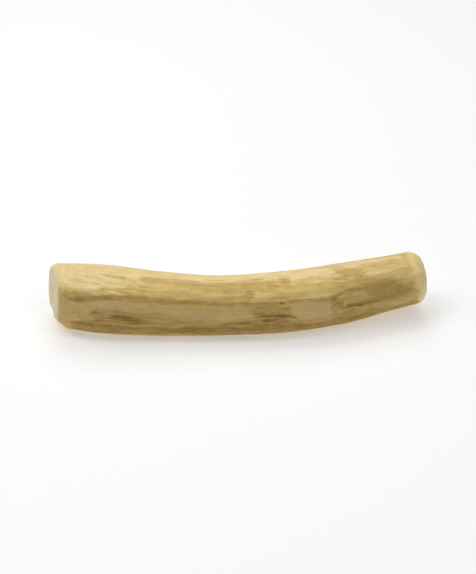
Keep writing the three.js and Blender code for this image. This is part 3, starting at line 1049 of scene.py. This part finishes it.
def peeled_wood(settings, fibre, end_grain, handling):
    """Skin of the stick: clean wood, inner bark, fibres and pores, with end grain at the cuts' rims."""
    material, nodes, shader = new_material("peeled_wood")
    grain = nodes.attribute("grain").outputs["Vector"]
    level = nodes.attribute("level").outputs["Fac"]
    greying_and_cool_shade = nodes.attribute("greying_and_cool_shade").outputs["Fac"]
    sawn = nodes.attribute("sawn").outputs["Fac"]
    fine = nodes.group(fibre, Grain=grain, **FINE_FIBRES).outputs
    wide = nodes.group(fibre, Grain=grain, **WIDE_FIBRES).outputs
    marks = nodes.group(handling, Grain=grain, Amount=HANDLED).outputs
    fine_shift = nodes.scaled(nodes.math("SUBTRACT", fine["Streak"], NOISE_MIDDLE), FINE_SHIFT)
    wide_shift = nodes.scaled(nodes.math("SUBTRACT", wide["Streak"], NOISE_MIDDLE), WIDE_SHIFT)
    tone = nodes.math("ADD", nodes.math("ADD", level, fine_shift), wide_shift, clamp=True)
    barks = (settings.tan_bark, settings.brown_bark, settings.dark_bark)
    color = nodes.ramp(tone, (settings.pale_wood, settings.clean_wood, *barks))
    # Greyer wood: weathering in part, and painted cool shade on the front
    grey = nodes.math("MULTIPLY", greying_and_cool_shade, nodes.span(tone, *GREY_SHARE))
    color = nodes.tint(grey, color, settings.greyed_wood_and_cool_shade)
    color = nodes.tint(nodes.scaled(fine["Pores"], SKIN_PORES), color, settings.brown_bark)
    color = nodes.tint(nodes.scaled(marks["Dirt"], DIRT_SHARE), color, settings.dirt)
    worn_rim = nodes.math("MULTIPLY", sawn, nodes.span(tone, *RIM_WEAR))
    color = nodes.mix(worn_rim, color, nodes.group(end_grain, Grain=grain).outputs["Color"])
    nodes.put(color, shader.inputs["Base Color"])
    shader.inputs["Specular IOR Level"].default_value = SKIN_SPECULAR
    roughness = nodes.span(tone, *SKIN_ROUGHNESS)
    roughness = nodes.math("SUBTRACT", roughness, nodes.scaled(marks["Polish"], POLISH))
    nodes.put(roughness, shader.inputs["Roughness"])
    fine_height = nodes.scaled(fine["Height"], FINE_HEIGHT)
    height = nodes.math("ADD", fine_height, nodes.scaled(wide["Streak"], WIDE_HEIGHT))
    add_bump(nodes, shader, height, settings.fibre_depth)
    return material


def sawn_end(settings, end_grain, handling):
    """Saw cuts: end grain with drying cracks and a little dirt."""
    material, nodes, shader = new_material("sawn_end")
    grain = nodes.attribute("grain").outputs["Vector"]
    crack = nodes.attribute("level").outputs["Fac"]
    cut = nodes.group(end_grain, Grain=grain).outputs
    marks = nodes.group(handling, Grain=grain, Amount=HANDLED).outputs
    color = nodes.tint(nodes.scaled(marks["Dirt"], DIRT_SHARE), cut["Color"], settings.dirt)
    color = nodes.tint(nodes.scaled(crack, CRACK_DARKNESS), color, settings.dark_bark)
    nodes.put(color, shader.inputs["Base Color"])
    shader.inputs["Roughness"].default_value = END_ROUGHNESS
    add_bump(nodes, shader, cut["Height"], settings.fibre_depth)
    return material


def build_floor(settings):
    """The floor, which gives off light as a light table does, and more of it far away."""
    corners = [(x * FLOOR_HALF, y * FLOOR_HALF, 0) for x, y in ((-1, -1), (1, -1), (1, 1), (-1, 1))]
    mesh = bpy.data.meshes.new("floor")
    mesh.from_pydata(corners, [], [(0, 1, 2, 3)])
    material, nodes, shader = new_material("floor")
    shader.inputs["Base Color"].default_value = (*settings.floor_color, 1)
    shader.inputs["Roughness"].default_value = FLOOR_ROUGHNESS
    shader.inputs["Specular IOR Level"].default_value = FLOOR_SPECULAR
    far = nodes.add("ShaderNodeVectorMath", operation="LENGTH")
    nodes.put(nodes.add("ShaderNodeNewGeometry").outputs["Position"], far.inputs[0])
    glow = nodes.span(far.outputs["Value"], *GLOW_REACH, settings.floor_glow, settings.backdrop)
    nodes.put(nodes.mix(glow, (0, 0, 0, 1), (1, 1, 1, 1)), shader.inputs["Emission Color"])
    shader.inputs["Emission Strength"].default_value = 1
    mesh.materials.append(material)
    floor = bpy.data.objects.new("floor", mesh)
    floor.location.z = -FLOOR_DROP
    return floor


def build_light(name, azimuth, elevation, power):
    """A soft square light that faces the stick."""
    light = bpy.data.lights.new(name, "AREA")
    light.shape = "SQUARE"
    light.size = LIGHT_SIZE
    light.energy = power
    lamp = bpy.data.objects.new(name, light)
    lamp.location = direction(math.radians(azimuth), math.radians(elevation)) * LIGHT_DISTANCE
    lamp.rotation_euler = lamp.location.to_track_quat("Z", "Y").to_euler()
    return lamp


def build_room(settings):
    """Even light of the room, with a bright backdrop where the camera sees it."""
    world = bpy.data.worlds.new("room")
    world.use_nodes = True
    nodes = Nodes(world.node_tree)
    seen = nodes.add("ShaderNodeLightPath").outputs["Is Camera Ray"]
    background = world.node_tree.nodes["Background"].inputs
    background["Color"].default_value = (1, 1, 1, 1)
    nodes.put(nodes.span(seen, 0, 1, settings.sky_strength, settings.backdrop), background["Strength"])
    return world


def build_camera(settings):
    """The camera, turned to its aim."""
    data = bpy.data.cameras.new("camera")
    data.lens = settings.lens
    data.sensor_width = SENSOR_WIDTH
    camera = bpy.data.objects.new("camera", data)
    out = direction(settings.azimuth, settings.elevation)
    camera.location = Vector(AIM) * MM + out * settings.distance
    camera.rotation_euler = (-out).to_track_quat("-Z", "Y").to_euler()
    return camera


def color_property(name, description, default):
    """A colour that the user can change."""
    return bpy.props.FloatVectorProperty(
        name=name, description=description, subtype="COLOR", default=default, min=0, max=1
    )


class StickSettings(bpy.types.PropertyGroup):
    """Fine sizes and colours of the stick."""

    ledge_depth: bpy.props.FloatProperty(
        name="Ledge depth",
        description="How much lower the dark bark lies than the clean wood",
        unit="LENGTH",
        default=0.3 * MM,
    )
    fibre_depth: bpy.props.FloatProperty(
        name="Fibre depth", description="Height of the ridges of fibre", unit="LENGTH", default=0.07 * MM
    )
    pale_wood: color_property("Pale wood", "Colour of the cleanest wood", (0.93, 0.72, 0.345))
    clean_wood: color_property("Clean wood", "Colour of most of the peeled wood", (0.8, 0.605, 0.25))
    tan_bark: color_property("Tan bark", "Colour of thin inner bark", (0.66, 0.445, 0.132))
    brown_bark: color_property("Brown bark", "Colour of thicker inner bark", (0.455, 0.295, 0.079))
    dark_bark: color_property("Dark bark", "Colour of bark in the deepest hollows", (0.24, 0.128, 0.013))
    # Greyer colour: of weathering, and of painted cool shade on the front
    greyed_wood_and_cool_shade: color_property("Weathered wood", "Colour of the greyer wood", (0.55, 0.42, 0.21))
    dirt: color_property("Dirt", "Colour of the marks of handling", (0.3, 0.25, 0.17))
    end_wood: color_property("End wood", "Colour of the sawn wood", (0.9, 0.79, 0.55))
    end_ring: color_property("End rings", "Colour of the growth rings on the saw cuts", (0.68, 0.53, 0.3))


class StageSettings(bpy.types.PropertyGroup):
    """Camera, floor and lights."""

    azimuth: bpy.props.FloatProperty(
        name="Azimuth",
        description="Camera's direction round the stick, 0 from the front",
        subtype="ANGLE",
        default=math.radians(-4.68),
    )
    elevation: bpy.props.FloatProperty(
        name="Elevation",
        description="Camera's height as an angle",
        subtype="ANGLE",
        default=math.radians(33),
    )
    distance: bpy.props.FloatProperty(
        name="Distance", description="Camera's distance from its aim", unit="LENGTH", default=0.75
    )
    lens: bpy.props.FloatProperty(name="Lens", description="Focal length", unit="CAMERA", default=91.79)
    light_power: bpy.props.FloatProperty(
        name="Lights", description="Power of a whole soft light", unit="POWER", default=6.6
    )
    sky_strength: bpy.props.FloatProperty(
        name="Room light", description="Strength of the even light of the room", default=0.03
    )
    backdrop: bpy.props.FloatProperty(
        name="Backdrop", description="Brightness of the far floor and of what is seen over it", default=0.92
    )
    floor_color: color_property("Floor", "Colour of the floor", (0.7, 0.7, 0.7))
    floor_glow: bpy.props.FloatProperty(
        name="Floor glow", description="Light that the floor gives off, as a light table does", default=0.36
    )


class STICK_OT_build(bpy.types.Operator):
    """Build the peeled stick over its solid"""

    bl_idname = "chew_stick.build_stick"
    bl_label = "Build stick"

    def execute(self, context):
        settings = context.scene.chew_stick
        stick = bpy.data.objects.new("chew_stick", build_stick_mesh(settings))
        context.scene.collection.objects.link(stick)
        fibre = fibre_group()
        end_grain = end_grain_group(settings, fibre)
        handling = handling_group()
        stick.data.materials.append(peeled_wood(settings, fibre, end_grain, handling))
        stick.data.materials.append(sawn_end(settings, end_grain, handling))
        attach(stick, "root")
        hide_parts(NODE)
        return {"FINISHED"}


class STICK_OT_stage(bpy.types.Operator):
    """Build the floor, the lights and the camera"""

    bl_idname = "chew_stick.build_stage"
    bl_label = "Build stage"

    def execute(self, context):
        scene = context.scene
        settings = scene.chew_stage
        floor = build_floor(settings)
        scene.collection.objects.link(floor)
        for name, azimuth, elevation, share in LIGHTS:
            lamp = build_light(name, azimuth, elevation, settings.light_power * share)
            scene.collection.objects.link(lamp)
        scene.world = build_room(settings)
        scene.view_settings.view_transform = "Standard"
        camera = build_camera(settings)
        scene.collection.objects.link(camera)
        scene.camera = camera
        return {"FINISHED"}


class STICK_PT_panel(bpy.types.Panel):
    """Settings and operators of the chew stick"""

    bl_idname = "STICK_PT_panel"
    bl_label = "Chew Stick"
    bl_space_type = "VIEW_3D"
    bl_region_type = "UI"
    bl_category = "Chew Stick"

    def draw(self, context):
        layout = self.layout
        for settings in (context.scene.chew_stick, context.scene.chew_stage):
            for name in settings.__annotations__:
                layout.prop(settings, name)
        layout.operator(STICK_OT_build.bl_idname)
        layout.operator(STICK_OT_stage.bl_idname)


CLASSES = (StickSettings, StageSettings, STICK_OT_build, STICK_OT_stage, STICK_PT_panel)


def register():
    for cls in CLASSES:
        bpy.utils.register_class(cls)
    bpy.types.Scene.chew_stick = bpy.props.PointerProperty(type=StickSettings)
    bpy.types.Scene.chew_stage = bpy.props.PointerProperty(type=StageSettings)


def unregister():
    del bpy.types.Scene.chew_stage
    del bpy.types.Scene.chew_stick
    for cls in reversed(CLASSES):
        bpy.utils.unregister_class(cls)


def main():
    """Register the add-on, then build the stick and the stage."""
    register()
    bpy.ops.chew_stick.build_stick()
    bpy.ops.chew_stick.build_stage()


if __name__ == "__main__":
    main()
